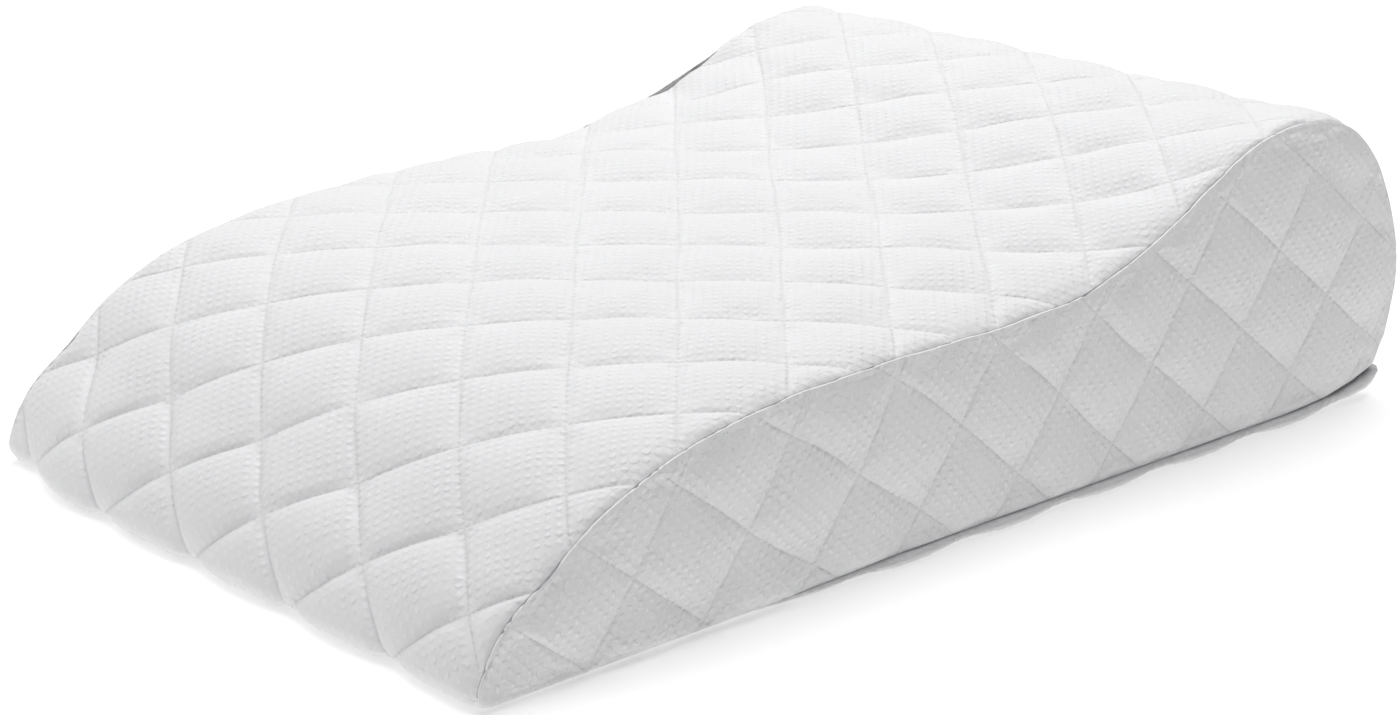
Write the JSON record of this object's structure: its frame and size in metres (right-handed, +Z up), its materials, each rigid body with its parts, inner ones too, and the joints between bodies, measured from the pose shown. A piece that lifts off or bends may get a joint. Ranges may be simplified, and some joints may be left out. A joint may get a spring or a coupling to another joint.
{
  "type": "leg elevation pillow",
  "caption": "Foam leg rest with a low rounded nose, a long crowned ramp, a shallow dip and a high rounded crest, in a white diamond-quilted knit cover.",
  "frame": {"origin": "on the surface that the pillow rests on, under the middle of its bounding box", "axes": "+X across, towards the side panel that the picture shows; +Y along the pillow, from the low nose towards the high crest; +Z up"},
  "size_m": [0.4602, 0.737, 0.19],
  "materials": {
    "quilted_knit": "white double-faced knit with fine rows of raised pips, diamond quilted, matte"
  },
  "bodies": {
    "root": {"pillow_body": "quilted_knit", "side_panel_right": "quilted_knit", "side_panel_left": "quilted_knit", "base_panel": "quilted_knit"}
  },
  "joints": []
}
